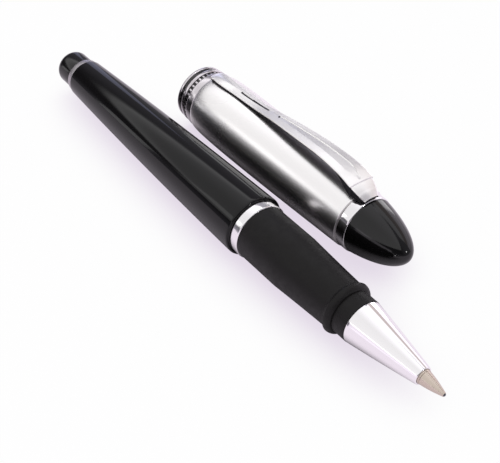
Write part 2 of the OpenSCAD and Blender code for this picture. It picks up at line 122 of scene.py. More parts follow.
# %% Helpers for colours and nodes
def colour(text, alpha=1.0):
    """Turns an sRGB hex colour, such as 'C8A050', into Blender's linear colour."""
    def linear(level):
        if level <= 0.04045:
            return level / 12.92
        return ((level + 0.055) / 1.055) ** 2.4
    levels = [int(text[i:i + 2], 16) / 255 for i in (0, 2, 4)]
    return (*map(linear, levels), alpha)


def add(tree, kind, inputs=None, **settings):
    """Adds a node, sets its properties, and fills its inputs with values or links."""
    made = tree.nodes.new(kind)
    for name, value in settings.items():
        setattr(made, name, value)
    for key, value in (inputs or {}).items():
        if isinstance(value, bpy.types.NodeSocket):
            tree.links.new(value, made.inputs[key])
        else:
            made.inputs[key].default_value = value
    return made


print("a middle grey in linear light:", round(colour("808080")[0], 3))

# %% [markdown]
# ## The room
# A glossy black or chromed cylinder mirrors a whole circle of the room, so the room matters as
# much as the finishes. The world gives a dim room, paler towards its horizon and its far side.
# The floor is a white sheet that glows, with a painted shadow in that glow near the object. The
# lamps are soft panels: a large one overhead that stops short behind the tail, and a low wall of
# them round the horizon. Many small spots could light it too, but a polished barrel shows those as
# hard dots.

# %% World: a dim room, paler towards its horizon and its far side
# Heights and sides are parts of a direction's unit length, so 0 is level and 1 straight up.
WALL_TOP = 0.3
NEAR_SIDE, FAR_SIDE = -0.4, 0.3
world = bpy.data.worlds.new("studio")
scene.world = world
world.use_nodes = True
tree = world.node_tree
tree.nodes.clear()
direction = add(tree, "ShaderNodeTexCoord")
upward = add(tree, "ShaderNodeSeparateXYZ", {0: direction.outputs["Generated"]})
height = add(tree, "ShaderNodeMapRange", {
    "Value": upward.outputs["Z"], "From Min": 0.0, "From Max": WALL_TOP},
    interpolation_type="SMOOTHSTEP")
near_side = add(tree, "ShaderNodeMix", {
    "Factor": height.outputs["Result"], 6: colour("8F8C96"), 7: colour("565458")},
    data_type="RGBA")
sideways = add(tree, "ShaderNodeMapRange", {
    "Value": upward.outputs["Y"], "From Min": NEAR_SIDE, "From Max": FAR_SIDE},
    interpolation_type="SMOOTHSTEP")
room = add(tree, "ShaderNodeMix", {
    "Factor": sideways.outputs["Result"], 6: near_side.outputs[2], 7: colour("A09EA6")},
    data_type="RGBA")
# Beyond the floor's edge the camera sees plain white, while mirrors still see the dim room.
ray = add(tree, "ShaderNodeLightPath")
backdrop = add(tree, "ShaderNodeMix", {
    "Factor": ray.outputs["Is Camera Ray"], 6: room.outputs[2], 7: colour("FFFFFF")},
    data_type="RGBA")
sky = add(tree, "ShaderNodeBackground", {"Color": backdrop.outputs[2]})
add(tree, "ShaderNodeOutputWorld", {"Surface": sky.outputs[0]})
print("the wall ends at", round(math.degrees(math.asin(WALL_TOP))), "degrees above the horizon")


# %% Floor: a white sheet with a painted shadow near the object
FLOOR_SIZE = 4.0    # in metres, so that its edge is far from the object
WHITE_SHARE = 0.97    # the rest of the sheet's light comes from the lamps
CONTACT_REACH = 14    # how far the object's dark spreads over the sheet
SHADOW_FULL, SHADOW_GONE = 0.3, 0.85    # how open the sheet is to the room there
bpy.ops.mesh.primitive_plane_add(size=FLOOR_SIZE, location=(0, 0, cad_low.z))
floor = bpy.context.object
floor.name = "floor"
sheet = bpy.data.materials.new("white_paper_sheet")
sheet.use_nodes = True
tree = sheet.node_tree
tree.nodes.clear()
path = add(tree, "ShaderNodeLightPath")
seen = add(tree, "ShaderNodeMath", {
    0: path.outputs["Is Camera Ray"], 1: path.outputs["Is Glossy Ray"]}, operation="MAXIMUM")
seen = add(tree, "ShaderNodeMath", {
    0: seen.outputs[0], 1: path.outputs["Is Transmission Ray"]}, operation="MAXIMUM")
share = add(tree, "ShaderNodeMath", {0: seen.outputs[0], 1: WHITE_SHARE}, operation="MULTIPLY")
paper = add(tree, "ShaderNodeBsdfDiffuse", {"Color": colour("F3EEF6")})
# The camera sees white paper with a pale painted shadow. Mirrors see it tinted, with a dark
# painted shade under the object.
tone = add(tree, "ShaderNodeMix", {
    "Factor": path.outputs["Is Camera Ray"], 6: colour("FAF1FC"), 7: colour("FFFFFF")},
    data_type="RGBA")
shade = add(tree, "ShaderNodeMix", {
    "Factor": path.outputs["Is Camera Ray"], 6: colour("161417"), 7: colour("E4DBE8")},
    data_type="RGBA")
# An occlusion test paints the shadow: it darkens the sheet's glow where the object is near.
openness = add(tree, "ShaderNodeAmbientOcclusion", {"Distance": CONTACT_REACH * MM}, samples=12)
open_share = add(tree, "ShaderNodeMapRange", {
    "Value": openness.outputs["AO"], "From Min": SHADOW_FULL, "From Max": SHADOW_GONE})
near = add(tree, "ShaderNodeMix", {
    "Factor": open_share.outputs[0], 6: shade.outputs[2], 7: tone.outputs[2]},
    data_type="RGBA")
glow = add(tree, "ShaderNodeEmission", {"Color": near.outputs[2], "Strength": 1.0})
mixed = add(tree, "ShaderNodeMixShader", {
    0: share.outputs[0], 1: paper.outputs[0], 2: glow.outputs[0]})
add(tree, "ShaderNodeOutputMaterial", {"Surface": mixed.outputs[0]})
floor.data.materials.append(sheet)
floor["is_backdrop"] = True
print("the floor lies at", round(cad_low.z / MM, 2), "mm")


# %% Lamps: soft panels, placed in millimetres
def panel(name, centre, size, facing, radiance, tint="FFFFFF", spin=0.0):
    """A flat soft lamp, which a mirror shows as a pale rectangle. Spin turns it in its plane."""
    print(f"{name}: {size[0]} x {size[1]} mm, radiance {radiance}")
    data = bpy.data.lights.new(name, "AREA")
    data.shape = "RECTANGLE"
    data.size, data.size_y = size[0] * MM, size[1] * MM
    data.energy = radiance * math.pi * data.size * data.size_y
    data.color = colour(tint)[:3]
    lamp = bpy.data.objects.new(name, data)
    lamp.visible_camera = False
    lamp.location = Vector(centre) * MM
    lamp.rotation_mode = "QUATERNION"
    lamp.rotation_quaternion = (
        Vector(facing).to_track_quat("-Z", "Y") @ Quaternion((0, 0, 1), spin))
    scene.collection.objects.link(lamp)
    return lamp


def graded(lamp, across, stops):
    """Grades a lamp across a direction: stops are (mm along it from the origin, share)."""
    first, last = stops[0][0], stops[-1][0]
    lamp.data.use_nodes = True
    tree = lamp.data.node_tree
    tree.nodes.clear()
    where = add(tree, "ShaderNodeNewGeometry")
    along = add(tree, "ShaderNodeVectorMath", {
        0: where.outputs["Position"], 1: across}, operation="DOT_PRODUCT")
    share = add(tree, "ShaderNodeMapRange", {
        "Value": along.outputs["Value"], "From Min": first * MM, "From Max": last * MM})
    ramp = add(tree, "ShaderNodeValToRGB", {"Fac": share.outputs[0]})
    ramp.color_ramp.interpolation = "EASE"
    marks = ramp.color_ramp.elements
    while len(marks) < len(stops):
        marks.new(0.5)
    for mark, (x, level) in zip(marks, stops):
        mark.position = (x - first) / (last - first)
        mark.color = (level, level, level, 1)
    glow = add(tree, "ShaderNodeEmission", {"Color": ramp.outputs[0], "Strength": 1.0})
    add(tree, "ShaderNodeOutputLight", {"Surface": glow.outputs[0]})


# %% The overhead panel: its slanted rear edge draws the long pointed reflection in the barrel
# The edge lies where the mirrored lines of sight from the barrel's rear meet the panel. The panel
# is brighter at that edge, so the reflection is too, and dimmer in its middle.
OVERHEAD_HEIGHT = 320
OVERHEAD_TURN = math.radians(27)
OVERHEAD_SIZE = (850, 1122)
EDGE_MIDDLE = Vector((-538, -190, OVERHEAD_HEIGHT))
across = Vector((math.cos(OVERHEAD_TURN), -math.sin(OVERHEAD_TURN), 0))
overhead = panel("overhead_panel", EDGE_MIDDLE + across * OVERHEAD_SIZE[0] / 2, OVERHEAD_SIZE,
                 (0, 0, -1), 1.0, spin=-OVERHEAD_TURN)
edge = EDGE_MIDDLE.dot(across)
graded(overhead, across, [
    (edge, 0.0), (edge + 14, 0.25), (edge + 44, 1.6), (edge + 66, 1.3), (edge + 112, 0.88),
    (edge + 240, 0.82), (edge + OVERHEAD_SIZE[0], 0.95)])

# %% The panels round the horizon, and one small lamp whose dot shows on the crown
# Gaps part them from the overhead panel, and show as thin dark lines along the pen.
SIDE = 450
panel("tail_side_panel", (-550, -SIDE, 68), (100, 115), (0, 1, 0), 1.3)
panel("tip_side_panel", (135, -SIDE, 88), (410, 175), (0, 1, 0), 0.95, "F6EEF8")
panel("far_horizon", (-800, SIDE, 210), (400, 380), (0, -1, 0), 1.0, "D4D8FF")
panel("near_strip", (-400, -SIDE, 228), (140, 170), (0, 1, 0), 0.85)
panel("far_sill", (78, SIDE, 120), (525, 210), (0, -1, 0), 0.95, "F6EEF8")
panel("far_low", (-350, SIDE, 110), (220, 120), (0, -1, 0), 1.0)
panel("far_rail", (78, SIDE, 322), (525, 195), (0, -1, 0), 0.3, "FFE4CC")
panel("far_wall", (78, SIDE, 610), (525, 380), (0, -1, 0), 0.85)
panel("far_strip", (-140, SIDE - 5, 105), (60, 190), (0, -1, 0), 2.5)
panel("small_lamp", (465, 168, 177), (44, 34), (-445, -151, -176), 34)


# %% [markdown]
# ## Materials
# Each finish starts from what the real one is, and gets the small irregularities that the eye
# expects: a lacquer's faint orange peel, the tool marks of a turned cone, the soft sheen of a
# satin plating. One recipe serves most of them: the roughness wanders a little in patches, and a
# fine relief bends the reflections. All patterns read Object coordinates, which are metres here,
# so a noise scale of 1000 means features of about a millimetre.

# %% The recipe for a finish
NOISE_LOW, NOISE_HIGH = 0.3, 0.7    # nearly all of a noise texture lies between these levels


def finish(name, base, rough, patch, relief=None, also=None, along=1.0, detail=(2.0, 1.0)):
    """Makes a material whose roughness goes from rough[0] to rough[1] in patches, patch mm across.

    Relief is the size and the depth of a fine pattern in mm. Along below 1 stretches both patterns
    along the pen, also holds more shader inputs, and detail is that of patches and of relief.
    """
    made = bpy.data.materials.new(name)
    made.use_nodes = True
    tree = made.node_tree
    shader = tree.nodes["Principled BSDF"]
    for socket, value in {"Base Color": colour(base), **(also or {})}.items():
        shader.inputs[socket].default_value = value
    where = add(tree, "ShaderNodeTexCoord")
    laid = add(tree, "ShaderNodeMapping", {
        "Vector": where.outputs["Object"], "Scale": (along, 1, 1)})
    patches = add(tree, "ShaderNodeTexNoise", {
        "Vector": laid.outputs[0], "Scale": 1 / (patch * MM), "Detail": detail[0]})
    wander = add(tree, "ShaderNodeMapRange", {
        "Value": patches.outputs[0], "From Min": NOISE_LOW, "From Max": NOISE_HIGH,
        "To Min": rough[0], "To Max": rough[1]})
    tree.links.new(wander.outputs[0], shader.inputs["Roughness"])
    if relief:
        grain = add(tree, "ShaderNodeTexNoise", {
            "Vector": laid.outputs[0], "Scale": 1 / (relief[0] * MM), "Detail": detail[1]})
        raised = add(tree, "ShaderNodeBump", {
            "Height": grain.outputs[0], "Strength": 1.0, "Distance": relief[1] * MM})
        tree.links.new(raised.outputs[0], shader.inputs["Normal"])
    print(f"{name}: roughness {rough[0]} to {rough[1]}")
    return made


# %% [markdown]
# ### The black finishes
# The barrel is sprayed with lacquer, baked and polished. That mirrors two to three per cent of the
# room, with a faint orange peel of two or three millimetres that makes the mirrored edges waver.
# Crown and finial are polished acrylic, a little less flat. The grip is moulded in a tool with a
# fine spark texture, so that fingers don't slip, and its sheen spreads wide. A plain black would
# give no edge at all, so each keeps a little grey of its own.

# %% Lacquer, acrylic and satin moulding
black_lacquer = finish("sprayed_black_lacquer", "0A090A", (0.05, 0.1), 9, (2.6, 0.0016),
                       {"IOR": 1.36})
black_moulding = finish("polished_black_acrylic", "0B0A0B", (0.07, 0.13), 5, (3.2, 0.002),
                        {"IOR": 1.44})
soft_black = finish("satin_black_moulding", "110F0F", (0.44, 0.56), 1.2, (0.16, 0.0016),
                    {"IOR": 1.32}, detail=(4.0, 3.0))

# %% [markdown]
# ### The bright platings
# Chrome on turned brass is close to a mirror, with a faint haze from wiping. Thumbs rub the centre
# ring to a softer mirror, and a cap's rim is handled most, so its nickel shows through. One chrome
# for all would be simpler, but then every ring would show the same hard lines.

# %% Chrome in three states of wear
PLATED = {"Metallic": 1.0}
chrome = finish("bright_chrome_plating", "F2F0F1", (0.04, 0.1), 2.2, (1.8, 0.0012), PLATED,
                detail=(3.0, 1.0))
soft_chrome = finish("rubbed_chrome_plating", "F2F0F1", (0.12, 0.19), 1.4, (1.2, 0.001), PLATED,
                     detail=(3.0, 1.0))
band_plating = finish("handled_band_plating", "D2CDD0", (0.11, 0.2), 1.1, (0.9, 0.001), PLATED,
                      detail=(3.0, 1.0))

# %% [markdown]
# ### Small plated parts
# The clip is a rolled spring strip, stamped and tumbled before its plating, so it's less flat than
# a turned ring and its mirror is softer. Its underside, its sides and its sunk lines get a dark
# grey that paints the shade falling there. The thin tail ring is plated loose in a drum, which
# leaves a soft grey sheen.

# %% Spring strip, the clip's painted shade, and tumbled plating
chrome_strip = finish("plated_spring_strip", "FAF8F6", (0.3, 0.36), 1.6, (1.4, 0.0008), PLATED,
                      along=0.35, detail=(3.0, 1.0))
# A dark grey painted on the clip's underside, sides and sunk lines, for the shade there.
clip_painted_shade = finish("clip_painted_shade_grey", "48464A", (0.45, 0.58), 0.6, (0.25, 0.003),
                         PLATED, along=0.3, detail=(3.0, 2.0))
tumbled_chrome = finish("tumbled_chrome_plating", "A8A4A7", (0.3, 0.4), 0.8, (0.3, 0.001), PLATED,
                        detail=(3.0, 2.0))

# %% [markdown]
# ### Pearl satin on the cap
# The tube is blasted, then plated. The grain is near 20 microns, far too fine to see, so it counts
# as roughness, which varies only slowly along the tube. A bump pattern of a size that shows would
# look like hammered metal.

# %% Pearl satin plating
satin_metal = finish("pearl_satin_plating", "FBF9F8", (0.265, 0.285), 12, None, PLATED,
                     detail=(0.0, 0.0))

# %% [markdown]
# ### Turned nickel silver
# The writing cone is turned and left bare. The marks of the turning tool are about 0.03 mm apart,
# far too fine to show, so they are drawn 0.88 mm apart. They run round the cone, so they are bands
# along X. A wave texture's scale of 1 makes 20 radians in a metre.

# %% Nickel silver with tool marks
TOOL_MARK = 0.8796
TOOL_DEPTH = 0.0005
nickel_silver = finish("turned_nickel_silver", "CCBFB2", (0.27, 0.35), 0.9, None, PLATED)
tree = nickel_silver.node_tree
where = add(tree, "ShaderNodeTexCoord")
marks = add(tree, "ShaderNodeTexWave", {
    "Vector": where.outputs["Object"], "Scale": 2 * math.pi / (20 * TOOL_MARK * MM),
    "Distortion": 0.6},
    wave_type="BANDS", bands_direction="X")
raised = add(tree, "ShaderNodeBump", {
    "Height": marks.outputs[1], "Strength": 1.0, "Distance": TOOL_DEPTH * MM})
tree.links.new(raised.outputs[0], tree.nodes["Principled BSDF"].inputs["Normal"])
print("tool marks every", round(TOOL_MARK, 2), "mm")

# %% [markdown]
# ### The metals inside
# Machined brass for the threads, drawn wire for the spring, zinc-plated screws and a ground
# carbide ball. They show when the pen is taken apart, or through the mouth of a tube.

# %% Brass and steels
thread_brass = finish("machined_brass", "C69A4E", (0.2, 0.3), 2, None, PLATED)
spring_steel = finish("drawn_spring_wire", "A9A9AC", (0.16, 0.3), 0.4, None, PLATED)
screw_steel = finish("zinc_plated_steel", "A7A8A8", (0.26, 0.44), 0.6, (0.15, 0.002), PLATED,
                     detail=(4.0, 2.0))
carbide = finish("ground_carbide", "6C6C70", (0.08, 0.18), 0.1, None, PLATED)

# %% [markdown]
# ### Plastics, fibre and enamel
# The refill's tube is extruded polypropylene, which lets some light in. Holder, plug and inner cap
# are moulded nylon with a fine texture. The ink sits in a bonded fibre, which is drawn matt and
# streaked along its length. The band's grooves are filled with enamel that is baked and glossy.

# %% Polypropylene, nylon, ink fibre and enamel
refill_plastic = finish("extruded_polypropylene", "D8D7D0", (0.3, 0.44), 1.5, None, {
    "IOR": 1.49, "Subsurface Weight": 0.25, "Subsurface Radius": (0.001, 0.001, 0.0009),
    "Subsurface Scale": 0.4}, along=0.2)
dark_plastic = finish("moulded_black_nylon", "221E1F", (0.38, 0.55), 0.7, (0.2, 0.003),
                      {"IOR": 1.53}, detail=(4.0, 3.0))
ink_fibre = finish("ink_soaked_fibre", "0A0B18", (0.75, 0.85), 0.3, (0.12, 0.02),
                   along=0.05, detail=(2.0, 4.0))
black_enamel = finish("baked_black_enamel", "0B0B0C", (0.1, 0.2), 1.0, (0.6, 0.002),
                      {"IOR": 1.52}, detail=(2.0, 2.0))

MATERIALS = {
    "black_lacquer": black_lacquer, "black_moulding": black_moulding, "soft_black": soft_black,
    "bright_chrome": chrome, "satin_metal": satin_metal, "nickel_silver": nickel_silver,
    "thread_brass": thread_brass, "spring_steel": spring_steel, "screw_steel": screw_steel,
    "carbide": carbide, "refill_plastic": refill_plastic, "dark_plastic": dark_plastic,
    "ink_fibre": ink_fibre, "black_enamel": black_enamel}
print(len(MATERIALS), "materials have a slot of their own")

# %% [markdown]
# ## Turning helpers
# A lathe piece is an outline of (x, radius) points in millimetres, turned about the X axis.
# Real edges are never sharp: each corner is broken by a small round, and that round is what
# catches the light. The outlines below give such a corner as (x, radius, round), and rounded()
# bends it. Corners inside a piece, which nobody sees, are left sharp.

# %% Outlines
def rounded(corners, steps=5):
    """Replaces each corner (x, r, round) of a closed outline by a small curve."""
    points = []
    count = len(corners)
    for i, corner in enumerate(corners):
        here = Vector(corner[:2])
        radius = corner[2] if len(corner) > 2 else 0
        if radius <= 0:
            points.append(here)
            continue
        before = Vector(corners[i - 1][:2]) - here
        after = Vector(corners[(i + 1) % count][:2]) - here
        start = here + before.normalized() * min(radius, before.length * 0.49)
        end = here + after.normalized() * min(radius, after.length * 0.49)
        for k in range(steps + 1):
            t = k / steps
            points.append(start * (1 - t) ** 2 + here * 2 * t * (1 - t) + end * t * t)
    return points


def swelled(x0, x1, r0, r1, swell, steps=40):
    """A side that runs from r0 to r1 and swells by swell in its middle."""
    along = [i / steps for i in range(steps + 1)]
    return [(x0 + (x1 - x0) * u, r0 + (r1 - r0) * u + 4 * swell * u * (1 - u)) for u in along]


def washer(x0, x1, bore_r, outer_r, edge, steps=5):
    """A ring or tube from x0 to x1, whose two outer corners are broken by edge."""
    return rounded([
        (x0, bore_r), (x0, outer_r, edge), (x1, outer_r, edge), (x1, bore_r)], steps)


print("a rounded corner has", len(rounded([(0, 0), (1, 0, 0.1), (1, 1)])) - 2, "points")


# %% The lathe
TURNS = 144
FINE_TURNS = 192    # for the pieces with the longest reflections
SHARP = math.radians(38)


def link_mesh(name, bm, material, sharp=SHARP):
    """Turns a bmesh into an object with outward faces, smooth except at its sharp edges."""
    bmesh.ops.recalc_face_normals(bm, faces=bm.faces)
    if bm.calc_volume(signed=True) < 0:
        bmesh.ops.reverse_faces(bm, faces=bm.faces)
    mesh = bpy.data.meshes.new(name)
    bm.to_mesh(mesh)
    bm.free()
    mesh.shade_smooth()
    mesh.set_sharp_from_angle(angle=sharp)
    mesh.materials.append(material)
    made = bpy.data.objects.new(name, mesh)
    scene.collection.objects.link(made)
    return made


def turn(name, outline, material, axis=(0.0, 0.0), turns=TURNS):
    """Turns a closed outline of (x, r) points about the line y, z = axis, all in mm."""
    bm = bmesh.new()
    rings = []
    for x, r, *_ in outline:
        around = 1 if r < 1e-6 else turns
        rings.append([bm.verts.new(Vector((
            x, axis[0] + r * math.cos(2 * math.pi * k / turns),
            axis[1] + r * math.sin(2 * math.pi * k / turns))) * MM) for k in range(around)])
    for a, b in zip(rings, rings[1:] + rings[:1]):
        if len(a) == 1 and len(b) == 1:
            continue
        for k in range(turns):
            corners = [a[k % len(a)], a[(k + 1) % len(a)], b[(k + 1) % len(b)], b[k % len(b)]]
            bm.faces.new(list(dict.fromkeys(corners)))
    return link_mesh(name, bm, material)


print("a full turn takes", TURNS, "steps of", 360 / TURNS, "degrees")


# %% Seating a piece
def fit(piece, body, slot, *nodes):
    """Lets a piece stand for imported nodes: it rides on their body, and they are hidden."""
    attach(piece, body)
    if nodes:
        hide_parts(*nodes)
    size = piece.dimensions / MM
    faces = len(piece.data.polygons)
    print(f"{piece.name}: {size.x:.1f} x {size.y:.1f} x {size.z:.1f} mm, {faces} faces")


# %% [markdown]
# ## Geometry Nodes for what repeats
# A tree gets its sizes as named inputs, makes instances or sweeps a profile along a curve, and
# ends in Realize Instances and Set Material. The result is then kept as a plain mesh, because only
# plain meshes are exported. Array modifiers could do the same, but they are harder to bend.

# %% Trees with named sizes, kept as plain meshes
def sized_tree(name, sizes):
    """A new tree with named inputs. Returns the tree and its inputs as sockets."""
    tree = bpy.data.node_groups.new(name, "GeometryNodeTree")
    tree.interface.new_socket("Geometry", in_out="OUTPUT", socket_type="NodeSocketGeometry")
    for size, value in sizes.items():
        kind = "NodeSocketInt" if isinstance(value, int) else "NodeSocketFloat"
        tree.interface.new_socket(size, in_out="INPUT", socket_type=kind)
    return tree, add(tree, "NodeGroupInput").outputs


def applied(made):
    """Runs an object's modifiers, keeps the result as its mesh, and removes them."""
    evaluated = made.evaluated_get(bpy.context.evaluated_depsgraph_get())
    mesh = bpy.data.meshes.new_from_object(evaluated)
    made.modifiers.clear()
    made.data = mesh
    mesh.name = made.name


def kept(name, tree, shape, sizes, material):
    """Ends the tree, runs it on an object with these sizes, and keeps the result as a mesh."""
    real = add(tree, "GeometryNodeRealizeInstances", {"Geometry": shape})
    painted = add(tree, "GeometryNodeSetMaterial", {
        "Geometry": real.outputs[0], "Material": material})
    add(tree, "NodeGroupOutput", {"Geometry": painted.outputs[0]})
    made = bpy.data.objects.new(name, bpy.data.meshes.new(name))
    scene.collection.objects.link(made)
    modifier = made.modifiers.new("build", "NODES")
    modifier.node_group = tree
    for item in tree.interface.items_tree:
        if item.in_out == "INPUT":
            modifier[item.identifier] = sizes[item.name]
    applied(made)
    print(f"{name}: a tree of {len(tree.nodes)} nodes with inputs {list(sizes)}")
    return made


# %% A wound wire or thread
STEPS_PER_TURN = 28


def coil(name, x0, x1, radius, turns, profile, material):
    """Sweeps a small polygon, given by its corner radius and count of sides, along a helix."""
    wire, sides = profile
    sizes = {"Start": x0 * MM, "Length": (x1 - x0) * MM, "Radius": radius * MM,
             "Turns": float(turns), "Wire": wire * MM, "Sides": sides}
    tree, size = sized_tree(name, sizes)
    helix = add(tree, "GeometryNodeCurveSpiral", {
        "Resolution": STEPS_PER_TURN, "Rotations": size["Turns"], "Start Radius": size["Radius"],
        "End Radius": size["Radius"], "Height": size["Length"]})
    ring = add(tree, "GeometryNodeCurvePrimitiveCircle", {
        "Resolution": size["Sides"], "Radius": size["Wire"]})
    swept = add(tree, "GeometryNodeCurveToMesh", {
        "Curve": helix.outputs[0], "Profile Curve": ring.outputs[0], "Fill Caps": True})
    start = add(tree, "ShaderNodeCombineXYZ", {0: size["Start"]})
    laid = add(tree, "GeometryNodeTransform", {
        "Geometry": swept.outputs[0], "Translation": start.outputs[0],
        "Rotation": (0, math.pi / 2, 0)})
    return kept(name, tree, laid.outputs[0], sizes, material)


print("each turn of a coil has", STEPS_PER_TURN, "steps")

# %% [markdown]
# ## The barrel
# A brass tube, drawn to a taper that swells slightly, then lacquered. It is hollow, because the
# refill slides into it, and its mouth edge is rolled to a soft round beside the centre ring.
# A plain cone would look stiff: the swell bends the long reflections a little.

# %% Barrel
BARREL_TAIL_R = 4.3
BARREL_SWELL = 0.26
BARREL_WALL = 0.6
TAIL_HOLE_R = 1.05
TAIL_WALL = 1.2
MOUTH_ROUND = 0.9
FIT_GAP = 0.02    # keeps pressed pieces from sharing a face
BUSH_STOP = 0.3
barrel_low, barrel_high = span("barrel")
tail_x, mouth_x = barrel_low.x, barrel_high.x
barrel_mouth_r = barrel_high.z
bush_low, bush_high = span("barrel_bush")
bush_r = bush_high.z
side = swelled(tail_x, mouth_x, BARREL_TAIL_R, barrel_mouth_r, BARREL_SWELL, 60)
outline = rounded(
    [(tail_x, TAIL_HOLE_R), (tail_x, BARREL_TAIL_R, 0.25)]
    + side[1:-1]
    + [(mouth_x, barrel_mouth_r, MOUTH_ROUND), (mouth_x, bush_r + FIT_GAP, 0.12),
       (bush_low.x, bush_r + FIT_GAP), (bush_low.x, bush_r - BUSH_STOP),
       (tail_x + TAIL_WALL, BARREL_TAIL_R - BARREL_WALL), (tail_x + TAIL_WALL, TAIL_HOLE_R)], 8)
barrel = turn("barrel_shell", outline, black_lacquer, turns=FINE_TURNS)
fit(barrel, "barrel", "black_lacquer", "barrel")

# %% [markdown]
# ## The tail
# A thin plated ring and a domed finial close the rear. One screw from inside holds them. Both are
# turned. The finial's end is a broad round that meets a shallow dome, because a plain bevel would
# show a hard line where light should roll over the edge.

# %% Tail ring
low, high = span("tail_ring")
tail_ring = turn("tail_ring_plated", washer(low.x, high.x, TAIL_HOLE_R, high.z, 0.32),
                 tumbled_chrome)
fit(tail_ring, "barrel", "bright_chrome", "tail_ring")

# %% Finial: a shallow dome, then a broad round
FINIAL_ROUND = 1.8
FINIAL_DOME = 0.35
DOME_ANGLE = 80
ARC_STEPS = 24
low, high = span("tail_finial")
finial_r = high.z
centre_x = low.x + FINIAL_DOME + FINIAL_ROUND
outline = [(low.x, 0.0)]
for step in range(ARC_STEPS + 1):
    angle = math.radians(DOME_ANGLE * step / ARC_STEPS - DOME_ANGLE)
    outline.append((centre_x + FINIAL_ROUND * math.sin(angle),
                    finial_r - FINIAL_ROUND + FINIAL_ROUND * math.cos(angle)))
outline += [(high.x, finial_r, 0.15), (high.x, 0.0)]
finial = turn("finial_polished", rounded(outline), black_moulding)
fit(finial, "barrel", "black_moulding", "tail_finial")

# %% [markdown]
# ## The tail spring
# A small compression spring presses the refill forwards, so that it sits tight in the nose cone.
# It is one round wire wound into a helix, so a coil swept along a spiral gives its true shape. It
# shortens a little when the tip is pressed.

# %% Tail spring
WIRE_R = 0.22
WIRE_SIDES = 10
SPRING_TURNS = 4
spring_low, spring_high = span("tail_spring")
spring = coil("tail_spring_wound", spring_low.x + WIRE_R, spring_high.x - WIRE_R,
              spring_high.z - WIRE_R, SPRING_TURNS, (WIRE_R, WIRE_SIDES), spring_steel)
fit(spring, "barrel", "spring_steel", "tail_spring")
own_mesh(spring)

# %% [markdown]
# ## The coupler and its thread
# A brass tube joins grip and barrel. It is turned on a lathe, and its rear carries the thread that
# the barrel screws on to. The thread is a ridge wound round the tube: a helix again, with a small
# blunt profile half sunk in the tube's root, which is how a rolled thread looks.

# %% Coupler
BORE_R = 3.25
COUPLER_GRIP_R = 4.4
THREAD_DEPTH = 0.3
PLAIN_LENGTH = 1.2
RELIEF_START, RELIEF_END = 0.6, 0.4    # the slope from the thread's root to the plain part
low, high = span("section_coupler")
crest_r = high.z
root_r = crest_r - THREAD_DEPTH
plain_x = mouth_x - PLAIN_LENGTH
coupler = turn("coupler_turned", rounded([
    (low.x, BORE_R, 0.1), (low.x, root_r, 0.25), (plain_x - RELIEF_START, root_r),
    (plain_x - RELIEF_END, crest_r, 0.1), (0, crest_r), (0, COUPLER_GRIP_R),
    (high.x, COUPLER_GRIP_R), (high.x, BORE_R)]), thread_brass)
fit(coupler, "section", "thread_brass", "section_coupler")

# %% Thread
THREAD_PITCH = 0.75
THREAD_SIDES = 6
THREAD_LEAD, THREAD_STOP = 0.5, 0.7
thread_start, thread_end = low.x + THREAD_LEAD, plain_x - THREAD_STOP
thread = coil("coupler_thread", thread_start, thread_end, root_r,
              (thread_end - thread_start) / THREAD_PITCH, (THREAD_DEPTH * 0.95, THREAD_SIDES),
              thread_brass)
fit(thread, "section", "thread_brass")

# %% [markdown]
# ## The refill
# A rollerball refill is an extruded plastic tube with a plug at its rear and a moulded holder in
# front that carries the writing cone. It shows when the barrel is off. Each part is an outline
# again. The holder could be plain, but its shoulder has to lie close in the nose cone's bore.

# %% Refill tube
REFILL_WALL = 0.3
low, high = span("refill_tube")
refill_rear_x, refill_front_x = low.x, high.x
refill_r = high.z
outline = washer(low.x, high.x, refill_r - REFILL_WALL, refill_r, 0.08)
refill = turn("refill_tube_extruded", outline, refill_plastic)
fit(refill, "refill", "refill_plastic", "refill_tube")

# %% Rear plug, with a hollow in its end
HOLLOW_R = 1.4
HOLLOW_RIM_R = 1.5
HOLLOW_DEPTH = 0.4
low, high = span("refill_plug")
plug_r = refill_r - REFILL_WALL - FIT_GAP
plug = turn("refill_plug_moulded", rounded([
    (low.x + HOLLOW_DEPTH, 0.0), (low.x + HOLLOW_DEPTH, HOLLOW_R, 0.1),
    (low.x, HOLLOW_RIM_R, 0.1), (low.x, refill_r, 0.2),
    (refill_rear_x, refill_r, 0.05), (refill_rear_x, plug_r),
    (high.x, plug_r, 0.1), (high.x, 0.0)]), dark_plastic)
fit(plug, "refill", "dark_plastic", "refill_plug")

# %% Holder: its shoulder slopes as the nose cone's bore does, and its front is plated
NECK_R = 1.5
NECK_LENGTH = 3.4
CHANNEL_R = 0.42
STEM_R = 0.92
STEM_DEPTH = 4.02
PLATED_END = 1.0
SHOULDER_GAP = 0.06
NOSE_BASE_R, NOSE_FRONT_R, NOSE_MOUTH_R = 4.4, 1.82, 1.56
NOSE_LENGTH = 15.0
nose_slope = (NOSE_BASE_R - NOSE_FRONT_R) / NOSE_LENGTH
low, high = span("refill_holder")
tip_x = high.x
shoulder_x = tip_x - NECK_LENGTH - SHOULDER_GAP - (BORE_R - NOSE_MOUTH_R) / nose_slope
holder = turn("refill_holder_moulded", rounded([
    (low.x, CHANNEL_R), (low.x, plug_r, 0.1),
    (refill_front_x, plug_r), (refill_front_x, refill_r, 0.05),
    (shoulder_x, refill_r, 0.3), (shoulder_x + (refill_r - NECK_R) / nose_slope, NECK_R, 0.2),
    (tip_x - PLATED_END, NECK_R), (tip_x, NECK_R, 0.1), (tip_x, STEM_R),
    (tip_x - STEM_DEPTH, STEM_R), (tip_x - STEM_DEPTH, CHANNEL_R)]), dark_plastic)
holder.data.materials.append(nickel_silver)
for face in holder.data.polygons:
    if face.center.x > (tip_x - PLATED_END) * MM:
        face.material_index = 1
fit(holder, "refill", "dark_plastic", "refill_holder")

# %% [markdown]
# ## The centre ring and the grip
# The centre ring is a plated washer that the barrel screws up against. In front of it the grip has
# a plain land for the cap, slims to a waist, and ends in a raised lip that stops the fingers.

